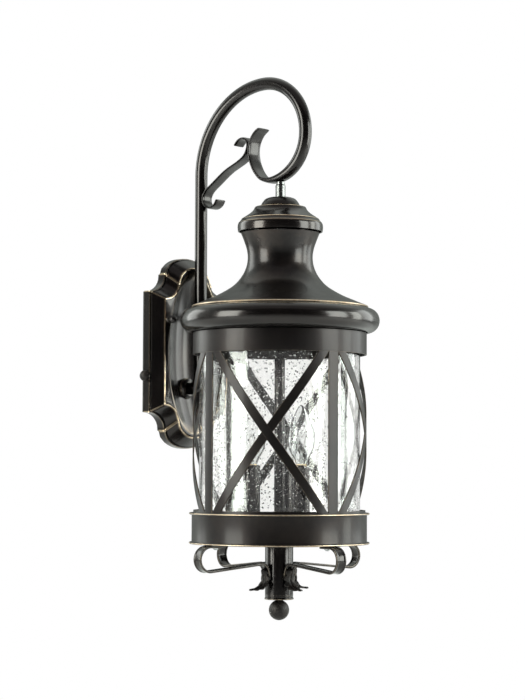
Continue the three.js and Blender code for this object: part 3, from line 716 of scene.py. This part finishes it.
def arm_section(t):
    flat = smoothstep((t - ARM["flat_from"]) / (ARM["flat_to"] - ARM["flat_from"]))
    width = lerp(ARM["radius"] * 2, ARM["width"], flat) / 2
    thick = lerp(ARM["radius"] * 2, ARM["thick"], flat) / 2
    power = lerp(1.0, 0.6, flat)
    made = []
    for k in range(40):
        angle = 2 * math.pi * (k + 0.5) / 40
        c, s = math.cos(angle), math.sin(angle)
        x = math.copysign(abs(c) ** power, c) * width
        z = math.copysign(abs(s) ** power, s) * thick
        made.append((x, z, 0.0))
    return made


arm = along_line(arm_line(), drawn_in(arm_section, 0.96, 0.7, (1.0,))).moved(AT_ARM)
make("arm", arm, BRONZE, "wall_mount", "arm_tube", sharp=50)

STRAP_END = (0.93, 0.72)  # how much of its width and thickness a strap keeps at its ends
BRACE_LINE = evenly(spline([
    (105, 199.5), (109.5, 193), (117, 189.6), (124.6, 191.8), (129.4, 198.6), (129.2, 206.6),
    (123.6, 213.8), (112, 221.8), (91, 235.6), (68, 246), (57, 253), (51.9, 261.5), (51.2, 268.6),
    (54.8, 274.6), (61, 276.4), (68, 273.8), (73.6, 268),
], 10), 1.2)
brace_section = domed_section(19, 3)
brace = along_line(BRACE_LINE, drawn_in(lambda t: brace_section, *STRAP_END)).moved(AT_ARM)
make("brace", brace, BRONZE, "wall_mount", "scroll_brace", sharp=50)

stem = turned(soften([
    (0, 187.2, 0, 0), (10.4, 187.2, 0.4, 0), (10.4, 192, 0.4, 0), (6.5, 192, 0, 0), (6.5, 209.6, 0.5, 0),
    (5.6, 210.4, 0.3, 0), (5.6, 213.8, 0, 0), (0, 213.8, 0, 0),
], closed=False), MEDIUM).moved(AT_ARM)
make("stem", stem, NICKEL, "wall_mount", "hang_stem")


# ------------------------ roof

SHEET = 1.6


def lantern(name, shape, material, replaces, sharp=34):
    return make(name, shape.moved(AT_LANTERN), material, "lantern", replaces, sharp)


top_cap = sheet(soften([
    (7.1, 194, 0, 0), (13.6, 194, 2.2, 0.3), (19.6, 192.0, 2.4, 0),
    (23.4, 187.2, 1.2, 0), (25.3, 183.4, 0, 0),
], closed=False), SHEET)
lantern("cap_dome", turned(top_cap, MEDIUM, True), BRONZE, "top_cap")

stepped = sheet(soften([
    (20.3, 182.3, 0, 0), (27.4, 182.3, 0.3, 0), (32.6, 181.5, 0.7, 1.0), (33.6, 179.6, 0.6, 0.0),
    (35.2, 176.6, 2, 0), (39.6, 172.6, 2.5, 0), (46.0, 168.4, 2.0, 0),
    (50.0, 165.8, 0.7, 1.0), (51.0, 163.8, 0.6, 0.0),
    (53.8, 160.9, 1.0, 0.3), (54.8, 158.6, 1.0, 0.0), (55.1, 154.9, 0, 0), (54.5, 149.5, 0, 0),
], closed=False), SHEET)
lantern("cap_steps", turned(stepped, FINE, True), BRONZE_GILT, "stepped_cap")

roof_curve = spline([
    (50.6, 147.4), (47, 138.5), (43.2, 127), (41.8, 116), (43.6, 104), (49.4, 91.6), (60.6, 79),
    (79.5, 67.5), (100, 58.6), (112.6, 53.6),
], 8)
roof_outer = [(7.25, 147.4, 0.0), (49.4, 147.4, 0.0)] + plain(roof_curve)
roof_outer += [(113.3, 53.0, 1.0), (113.6, 52.2, 1.0), (113.2, 51.4, 0.6)]
lantern("roof_bell", turned(sheet(roof_outer, SHEET), FINE, True), BRONZE_BELL, "roof")

RIM = {"radius": 114, "height": 34.7, "roll": 14, "stretch": 1.09}
rim_outer = [
    (107.4, 51.0, 0.0), (113.9, 50.6, 0.0), (115.0, 50.3, 0.15), (115.8, 49.7, 0.1), (116.2, 49.2, 0.0),
]
for r, z in arc((RIM["radius"], RIM["height"]), RIM["roll"], 78, -84, 34):
    rim_outer.append((r, RIM["height"] + (z - RIM["height"]) * RIM["stretch"], 0.0))
rim_outer.append((112.8, 19.4, 0.0))
lantern("rolled_rim", turned(sheet(rim_outer, SHEET), FINE, True), BRONZE, "roof_rim")

lid = soften([(4.6, 14.6, 0, 0), (108.4, 14.6, 0.3, 0), (108.4, 16.2, 0.3, 0), (4.6, 16.2, 0, 0)])
lantern("lid_plate", turned(lid, FINE, True), BRONZE, "top_plate")


# ------------------------ cage

CAGE = {"outer": 111.3, "thick": 1.7, "bottom": -9.5, "foot": -210.4, "bar": 15.0, "strap": 11.5}
CROSS_HEIGHT = CAGE["bottom"] - CAGE["foot"]
QUARTER = math.pi * (CAGE["outer"] - CAGE["thick"] / 2) / 2


def rolled_strap(start, end, width, inset=0.0, steps=60):
    """A strap on the lantern's cylinder between two (distance round, height) points, with eased edges."""
    outer, thick = CAGE["outer"] - inset, CAGE["thick"]
    middle = CAGE["outer"] - thick / 2
    a, b = Vector(start), Vector(end)
    along = (b - a).normalized()
    across = Vector((along.y, -along.x))
    ease, half = 0.35, width / 2
    section = [
        (-half, thick - ease, 0.14), (-half + ease, thick, 0.14), (-half + 2 * ease, thick, 0.0),
        (-half / 2, thick, 0.0), (0, thick, 0.0), (half / 2, thick, 0.0),
        (half - 2 * ease, thick, 0.0), (half - ease, thick, 0.14), (half, thick - ease, 0.14),
        (half, 0, 0.0), (half / 2, 0, 0.0), (0, 0, 0.0), (-half / 2, 0, 0.0), (-half, 0, 0.0),
    ]
    rings = []
    for i in range(steps + 1):
        here = a.lerp(b, i / steps)
        ring = []
        for s, u, wear in section:
            p = here + across * s
            z = min(max(p.y, CAGE["foot"] + 0.2 - inset), CAGE["bottom"] + 4)
            angle = p.x / middle
            r = outer - thick + u
            ring.append((r * math.sin(angle), -r * math.cos(angle), z, wear))
        rings.append(ring)
    return Shape().add_rings(rings, caps=True)


def cage():
    shape = turned(soften([
        (109.5, -9.4, 0.3, 0), (111.5, -9.4, 0.45, 0.2), (111.5, 18.7, 0.3, 0), (109.5, 18.7, 0.3, 0),
    ]), FINE, True)
    hoop = turned(soften([
        (108.3, -225.9, 0.2, 0), (110, -225.9, 0.2, 0), (110, -207.7, 0.2, 0.3), (108.3, -207.7, 0.2, 0),
    ]), FINE, True)
    shape.join(hoop)
    opening = QUARTER - CAGE["bar"]
    chord = CAGE["strap"] / math.sin(math.atan2(CROSS_HEIGHT, opening - CAGE["strap"]))
    for i in range(4):
        here = i * QUARTER
        shape.join(rolled_strap((here, CAGE["foot"]), (here, CAGE["bottom"] + 3), CAGE["bar"]))
        for lean in (-1, 1):
            middle = Vector((here + QUARTER / 2, (CAGE["foot"] + CAGE["bottom"]) / 2))
            span = Vector((lean * (opening - chord), CROSS_HEIGHT))
            half = span.normalized() * (span.length / 2 + 5)
            shape.join(rolled_strap(middle - half, middle + half, CAGE["strap"], inset=0.03 + 0.02 * lean))
    return shape


lantern("cage_work", cage(), BRONZE_FLAT, "cage", sharp=60)


# ------------------------ glass and lamps

glass_wall = soften([(100, -210.8, 0.6, 0), (103, -210.8, 0.6, 0), (103, 10, 0.6, 0), (100, 10, 0.6, 0)])


def tall_ring(profile, facets, bands):
    """Turned like turned(), with long straight stretches divided so that they shade and wave evenly."""
    made = []
    for p, q in zip(profile, profile[1:] + profile[:1]):
        made.append(p)
        pieces = max(1, round(math.dist(p[:2], q[:2]) / bands))
        made += [tuple(lerp(a, b, k / pieces) for a, b in zip(p, q)) for k in range(1, pieces)]
    return turned(made, facets, True)


lantern("glass", tall_ring(glass_wall, FINE, 8), SEEDED, "glass_cylinder")

ring_outline = [
    (110.4, -250.8, 0.3, 0), (114.6, -250.8, 0.7, 0.2), (115.6, -249.5, 0.8, 0.75), (114.7, -248.2, 0.6, 0),
    (112, -247.9, 0.4, 0), (112, -213.7, 0.4, 0), (114.7, -213.4, 0.6, 0), (115.6, -212.1, 0.8, 0.75),
    (114.6, -210.9, 0.7, 0.2), (110.4, -210.9, 0.3, 0),
]
lantern("base_ring", turned(soften(ring_outline), FINE, True), BRONZE_RING, "bottom_ring")


def disc(inner, outer, low, thick):
    return turned(soften([
        (inner, low, 0, 0), (outer, low, 0.3, 0), (outer, low + thick, 0.3, 0), (inner, low + thick, 0, 0),
    ]), FINE, True)


lantern("pan", disc(4.6, 107.2, -214.4, 1.6), BRONZE, "lamp_pan")
lantern("base_plate", disc(4.6, 109.3, -250.7, 1.6), BRONZE, "bottom_plate")
lantern("rod", turned(soften([
    (0, -330.9, 0, 0), (3.9, -330.9, 0, 0), (3.9, -212.4, 0, 0), (6.7, -212.4, 0.4, 0), (6.7, 14.2, 0.4, 0),
    (3.9, 14.2, 0, 0), (3.9, 159.9, 0.4, 0), (0, 159.9, 0, 0),
], closed=False), SMALL), BRONZE, "center_rod")

LAMP = {"pitch": 37.0, "turn": 11.0, "bulb_top": -74.0, "neck": -149.1}
LAMP_FOOT = -212.4  # the lamps stand on the lamp pan


def lamp_place(i):
    angle = math.radians(LAMP["turn"] + 120 * i)
    return Matrix.Translation((LAMP["pitch"] * math.sin(angle), -LAMP["pitch"] * math.cos(angle), 0))


def bulb_outline():
    neck, top = LAMP["neck"], LAMP["bulb_top"]
    height = top - neck
    return spline([
        (6.6, neck), (9.6, neck + height * 0.1), (15.4, neck + height * 0.24), (17.5, neck + height * 0.4),
        (15.8, neck + height * 0.58), (10.6, neck + height * 0.78), (4.6, neck + height * 0.95), (0.0, top),
    ], 6)


def filament():
    """Glass foot, two leads and a zigzag filament, as thin rods."""
    base = LAMP["neck"]
    foot = turned(soften([
        (0, base, 0, 0), (3.4, base, 0.5, 0), (2.6, base + 9, 1.5, 0),
        (1.6, base + 15, 1, 0), (0, base + 17, 0, 0),
    ], closed=False), 20)
    wires = []
    for sign in (-1, 1):
        wires.append([(sign * 1.0, base + 14), (sign * 3.2, base + 22), (sign * 5.6, base + 34)])
    zigzag = [(-5.6, base + 34), (-3.6, base + 39), (-1.9, base + 33.6), (0, base + 39.4),
              (1.9, base + 33.6), (3.6, base + 39), (5.6, base + 34)]
    shape = Shape()
    for line, radius in [(w, 0.34) for w in wires] + [(zigzag, 0.22)]:
        path = evenly(spline(line, 6), 1.2)
        section = [(radius * math.cos(2 * math.pi * k / 8), radius * math.sin(2 * math.pi * k / 8), 0)
                   for k in range(8)]
        shape.join(along_line(path, lambda t: section))
    return foot, shape


for i in range(3):
    n = i + 1
    at = AT_LANTERN @ lamp_place(i)
    body = f"bulb_{n}"
    sleeve = turned(soften([
        (9.6, LAMP_FOOT, 0, 0), (10.8, LAMP_FOOT, 0.2, 0), (10.8, -151.1, 0.5, 0.8), (9.6, -151.1, 0.4, 0.4),
    ]), SMALL, True).moved(at)
    make(f"sleeve_{n}", sleeve, BRONZE, "lantern", f"candle_sleeve_{n}")
    cup = turned(soften([
        (0, LAMP_FOOT, 0, 0), (9.1, LAMP_FOOT, 0, 0), (9.1, -150.2, 0.5, 0),
        (7.35, -150.2, 0.4, 0), (7.35, -178, 0, 0), (0, -178, 0, 0),
    ], closed=False), SMALL).moved(at)
    make(f"lampholder_{n}", cup, PLASTIC, "lantern", f"lamp_socket_{n}")
    thread = [(0, -177.3, 0), (2.4, -177.3, 0), (4.2, -174.8, 0), (6.2, -172.9, 0)]
    for k in range(56):
        z = -171.4 + 18.6 * k / 55
        thread.append((6.4 + 0.28 * math.sin(2 * math.pi * k / 8), z, 0.0))
    thread += [(6.6, -152.4, 0), (6.6, -150.3, 0), (6.3, -149.5, 0), (0, -149.5, 0)]
    make(f"lamp_cap_{n}", turned(thread, SMALL).moved(at), BRASS, body, f"bulb_base_{n}")
    outer = bulb_outline()
    wall = [(max(r - 0.8, 0.0), z if r > 0.8 else z - 0.8) for r, z in outer]
    envelope = turned(plain(outer + wall[::-1] + outer[:1]), SMALL).moved(at)
    make(f"lamp_glass_{n}", envelope, BULB_GLASS, body, f"bulb_glass_{n}", 60)
    foot, wires = filament()
    spin = Matrix.Rotation(math.radians(40 + 70 * i), 4, "Z")
    make(f"lamp_foot_{n}", foot.moved(at), BULB_GLASS, body)
    make(f"lamp_filament_{n}", wires.moved(at @ spin), FILAMENT, body, sharp=70)


# ------------------------ column, ball and lower scrolls

STRAP_TOP = -251.1
SCROLL = {"width": 15, "thick": 3, "loop": 15.5, "reach": 128}
SCREW_OUT = 99  # the scrolls' screws, out from the lantern's axis
column = soften([
    (4.6, -321.5, 0, 0), (18.2, -321.5, 0.7, 0.1), (18.9, -320.6, 0.6, 0.3), (18.6, -319.6, 0.5, 0),
    (17.9, -319.0, 0.3, 0), (17.9, -317.2, 0.3, 0), (18.15, -316.9, 0.2, 0.1), (17.9, -316.6, 0.2, 0),
    (17.9, -315.6, 0.2, 0), (18.1, -315.4, 0.2, 0.1), (18.0, -315.0, 0.2, 0),
    (18, STRAP_TOP, 0.4, 0), (16, STRAP_TOP, 0.3, 0), (16, -319.2, 0.3, 0), (4.6, -319.2, 0, 0),
])
lantern("column_tube", turned(column, MEDIUM, True), BRONZE, "column")

BALL_Z, BALL_R = -334.8, 13.0
BALL_HOLE = 4.7
mouth = math.degrees(math.acos(BALL_HOLE / BALL_R))
ball = [(0, -331.8, 0), (BALL_HOLE, -331.8, 0)] + plain(arc((0, BALL_Z), BALL_R, mouth, -90, 40))
finial = turned(ball, MEDIUM).moved(AT_LANTERN)
make("ball_knob", finial, BRONZE_MATTE, "ball_finial", "ball_finial", sharp=50)


def scroll_line():
    """Side view of a lower scroll: flat under the ring, round the loop, back in, and down the column."""
    half, loop = SCROLL["thick"] / 2, SCROLL["loop"]
    high = STRAP_TOP - half
    turn = SCROLL["reach"] - half - loop
    low = high - 2 * loop
    heel = spline([
        (33, low + 7.6), (27.5, low + 7.4), (22.6, low + 3.4), (20, low - 4), (19.8, low - 12),
    ], 10)
    line = [(92, high)] + arc((turn, high - loop), loop, 90, -90, 30) + heel
    return evenly(line, 1.6)


def bead(centre, radius, facets=14):
    points = plain(arc((0, 0), radius, -90, 90, 10))
    return turned(points, facets).moved(Matrix.Translation(centre))


def leaf():
    """Cast leaf at the scroll's foot: lobed edges that curl out, a rib of beads, and a broad lifted tip."""
    low = STRAP_TOP - 34
    line = evenly(spline([
        (26.2, low + 1.8), (24.0, low - 4), (23.2, low - 10), (24.4, low - 14.4), (28.2, low - 18.6),
        (35.5, low - 21.6), (46.4, low - 22.6),
    ], 12), 0.9)
    rows = []
    last = len(line) - 1
    across = 12
    for i, (a, z) in enumerate(line):
        t = i / last
        before, after = line[max(i - 1, 0)], line[min(i + 1, last)]
        along = Vector((after[0] - before[0], after[1] - before[1])).normalized()
        out = Vector((-along.y, along.x)) * -1
        lobes = abs(math.sin(math.pi * (0.15 + 5.2 * t)))
        width = (3.8 + 5.0 * math.sin(math.pi * min(1.0, t * 1.04)) ** 0.7) * (0.70 + 0.40 * lobes)
        width *= math.sqrt(max(0.0, 1 - max(0.0, (t - 0.93) / 0.075) ** 2)) * 0.94 + 0.06
        row = []
        for k in range(across + 1):
            u = 2 * k / across - 1
            curl = 2.6 * abs(u) ** 2.4 * (0.4 + 0.6 * lobes) * (1 - 0.6 * t)
            rib = 0.9 * math.exp(-(u / 0.16) ** 2)
            vein = 0.28 * math.cos(9 * u) * (1 - abs(u))
            row.append((u * width, curl + rib + vein, 0.5 * (abs(u) > 0.9)))
        rows.append((a, z, out, row, t))
    top, bottom = [], []
    for a, z, out, row, t in rows:
        thick = lerp(2.0, 1.2, t)
        top.append([(s, a + out.x * (u + 0.4), z + out.y * (u + 0.4), w) for s, u, w in row])
        bottom.append([
            (s, a + out.x * (u - thick + 0.4), z + out.y * (u - thick + 0.4), 0.0) for s, u, w in row
        ])
    rings = [t_row + b_row[::-1] for t_row, b_row in zip(top, bottom)]
    shape = Shape().add_rings(rings, caps=True)
    for k, size in enumerate((2.5, 2.3, 2.0, 1.7, 1.4)):
        a, z, out, row, t = rows[round(last * (0.08 + 0.145 * k))]
        shape.join(bead((0, a + out.x * 1.6, z + out.y * 1.6), size))
    return shape


scroll_section = channel_section(SCROLL["width"], SCROLL["thick"])
for i in range(4):
    n = i + 1
    turn = Matrix.Rotation(math.radians(i * 90 + 180), 4, "Z")
    strap = along_line(scroll_line(), drawn_in(lambda t: scroll_section, *STRAP_END))
    strap.moved(AT_LANTERN @ turn)
    make(f"scroll_{n}", strap, BRONZE, "lantern", f"strap_scroll_{n}", sharp=50)
    leaf_piece = leaf().moved(AT_LANTERN @ turn)
    make(f"leaf_{n}", leaf_piece, BRONZE_MATTE, "lantern", f"scroll_leaf_{n}", sharp=60)
    angle = math.radians(i * 90)
    under = STRAP_TOP - 3.3
    screw = turned(soften([
        (0, under - 2.5, 0, 0), (1.6, under - 2.4, 0.8, 0), (3.2, under - 1.5, 0.8, 0), (3.8, under, 0, 0),
        (0, under, 0, 0),
    ], closed=False), 24)
    place = (SCREW_OUT * math.sin(angle), -SCREW_OUT * math.cos(angle), 0)
    screw.moved(AT_LANTERN @ Matrix.Translation(place))
    make(f"screw_{n}", screw, ZINC, "lantern", f"strap_screw_{n}")

CAD_FINISH = {
    "mounting_bracket": ZINC, "ground_screw": BRASS, "wall_gasket": RUBBER, "bracket_stud_left": ZINC,
    "bracket_stud_right": ZINC, "arm_lock_nut": ZINC, "glass_top_seal": RUBBER, "glass_bottom_seal": RUBBER,
    "roof_nut": ZINC, "pan_nut": ZINC, "cage_rivet_1": ZINC, "cage_rivet_2": ZINC, "cage_rivet_3": ZINC,
    "cage_rivet_4": ZINC,
}
for node, material in CAD_FINISH.items():
    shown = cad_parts[node]
    shown.data.materials.clear()
    shown.data.materials.append(material)
for node in ("mounting_bracket", "wall_gasket", "arm_lock_nut", "roof_nut", "pan_nut"):
    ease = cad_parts[node].modifiers.new("eased_edges", "BEVEL")
    ease.width = 0.0003
    ease.segments = 2
    ease.limit_method = "ANGLE"
    ease.angle_limit = math.radians(40)


# ------------------------ floor, light and camera

TOWARDS = Vector((0.7547, 0.6561, 0.0))  # from the camera to the lantern
RIGHT = Vector((0.6561, -0.7547, 0.0))
UP = Vector((0, 0, 1))
LANTERN = Vector((0, -AXIS_OUT * MM, 0))
FLOOR_Z = -0.52


def pale_floor():
    """Pale and matt to the light, plain white to the camera."""
    pale = bpy.data.materials.new("pale_floor")
    pale.use_nodes = True
    nodes, links = pale.node_tree.nodes, pale.node_tree.links
    shader = nodes["Principled BSDF"]
    shader.inputs["Base Color"].default_value = (0.8, 0.8, 0.8, 1)
    shader.inputs["Roughness"].default_value = 0.9
    glow = nodes.new("ShaderNodeEmission")
    glow.inputs["Color"].default_value = (1, 1, 1, 1)
    seen = nodes.new("ShaderNodeLightPath")
    mix = nodes.new("ShaderNodeMixShader")
    links.new(seen.outputs["Is Camera Ray"], mix.inputs[0])
    links.new(shader.outputs["BSDF"], mix.inputs[1])
    links.new(glow.outputs["Emission"], mix.inputs[2])
    links.new(mix.outputs["Shader"], nodes["Material Output"].inputs["Surface"])
    return pale


floor_mesh = bpy.data.meshes.new("floor")
grid = bmesh.new()
bmesh.ops.create_grid(grid, x_segments=8, y_segments=8, size=9)
grid.to_mesh(floor_mesh)
grid.free()
floor_mesh.materials.append(pale_floor())
floor = bpy.data.objects.new("floor", floor_mesh)
floor.location = (0, 0, FLOOR_Z)
bpy.context.scene.collection.objects.link(floor)


def softbox(name, degrees, distance, height, size, power, tint):
    """An area lamp that faces the lantern from that many degrees to the right of the camera's side."""
    a = math.radians(degrees)
    towards = -TOWARDS * math.cos(a) + RIGHT * math.sin(a)
    data = bpy.data.lights.new(name, "AREA")
    data.shape = "RECTANGLE"
    data.size, data.size_y = size
    data.energy = power
    data.color = tint
    lamp = bpy.data.objects.new(name, data)
    place = LANTERN + towards * distance + UP * height
    lamp.location = place
    lamp.rotation_euler = (LANTERN + UP * 0.02 - place).to_track_quat("-Z", "Y").to_euler()
    bpy.context.scene.collection.objects.link(lamp)


softbox("key_left", -60, 1.9, 0.35, (0.9, 1.3), 44, (0.95, 1.0, 0.92))
softbox("key_right", 68, 1.9, 0.35, (0.84, 1.3), 37, (0.92, 1.0, 0.94))
softbox("side_right", 97, 1.9, 0.25, (0.5, 1.3), 17, (0.93, 1.0, 0.94))
softbox("rear_left", -120, 2.2, 0.5, (0.9, 1.6), 16, (0.96, 1.0, 0.97))
softbox("rear_right", 120, 2.2, 0.5, (0.9, 1.6), 14, (0.95, 1.0, 0.98))
softbox("overhead", 0, 0.05, 2.6, (4.5, 4.5), 22, (1.0, 0.98, 0.95))

# How bright the room is, from behind the camera (0) to behind the lantern (1).
ROOM = ((0.0, 0.03), (0.34, 0.06), (0.50, 0.55), (0.64, 0.85), (0.80, 0.90), (0.97, 0.28))
DIM = 0.1  # stops darker than this are a little purple, the others a little green


def studio():
    """White behind the lantern and through its glass; reflections see the room's gradient."""
    world = bpy.data.worlds.new("studio")
    world.use_nodes = True
    nodes, links = world.node_tree.nodes, world.node_tree.links
    nodes.clear()
    seen = nodes.new("ShaderNodeBackground")
    seen.inputs["Color"].default_value = (1, 1, 1, 1)
    seen.inputs["Strength"].default_value = 1.0
    room = nodes.new("ShaderNodeBackground")
    coordinates = nodes.new("ShaderNodeTexCoord")
    dot = nodes.new("ShaderNodeVectorMath")
    dot.operation = "DOT_PRODUCT"
    dot.inputs[1].default_value = TOWARDS
    share = nodes.new("ShaderNodeMapRange")
    share.inputs["From Min"].default_value = -1.0
    ramp = nodes.new("ShaderNodeValToRGB")
    ramp.color_ramp.interpolation = "EASE"
    stops = ramp.color_ramp.elements
    stops.remove(stops[1])
    for k, (position, bright) in enumerate(ROOM):
        stop = stops[0] if k == 0 else stops.new(position)
        stop.position = position
        tint = (0.93, 1.0, 0.93) if bright > DIM else (1.0, 0.9, 0.95)
        stop.color = (*(bright * part for part in tint), 1)
    path = nodes.new("ShaderNodeLightPath")
    direct = nodes.new("ShaderNodeMath")
    direct.operation = "MAXIMUM"
    mix = nodes.new("ShaderNodeMixShader")
    out = nodes.new("ShaderNodeOutputWorld")
    links.new(coordinates.outputs["Generated"], dot.inputs[0])
    links.new(dot.outputs["Value"], share.inputs["Value"])
    links.new(share.outputs["Result"], ramp.inputs["Fac"])
    links.new(ramp.outputs["Color"], room.inputs["Color"])
    links.new(path.outputs["Is Camera Ray"], direct.inputs[0])
    links.new(path.outputs["Is Transmission Ray"], direct.inputs[1])
    links.new(direct.outputs["Value"], mix.inputs[0])
    links.new(room.outputs["Background"], mix.inputs[1])
    links.new(seen.outputs["Background"], mix.inputs[2])
    links.new(mix.outputs["Shader"], out.inputs["Surface"])
    return world


bpy.context.scene.world = studio()

LENS = 105.4286  # millimetres, on a sensor 36 mm wide
DISTANCE = 2.628  # from the lantern's axis
EYE = -0.1505
LOOK_UP = 0.057561  # how far the view rises in each metre towards the lantern
LEAN = math.radians(0.2)
camera_data = bpy.data.cameras.new("camera")
camera_data.sensor_width = 36.0
camera_data.lens = LENS
camera_data.shift_x = -0.024857
camera_data.shift_y = -0.001857
camera = bpy.data.objects.new("camera", camera_data)
camera.location = LANTERN - TOWARDS * DISTANCE + UP * EYE
look = (TOWARDS + UP * LOOK_UP).to_track_quat("-Z", "Y").to_matrix().to_4x4()
camera.rotation_euler = (look @ Matrix.Rotation(LEAN, 4, "Z")).to_euler()
bpy.context.scene.collection.objects.link(camera)
bpy.context.scene.camera = camera
bpy.context.scene.view_settings.view_transform = "Standard"
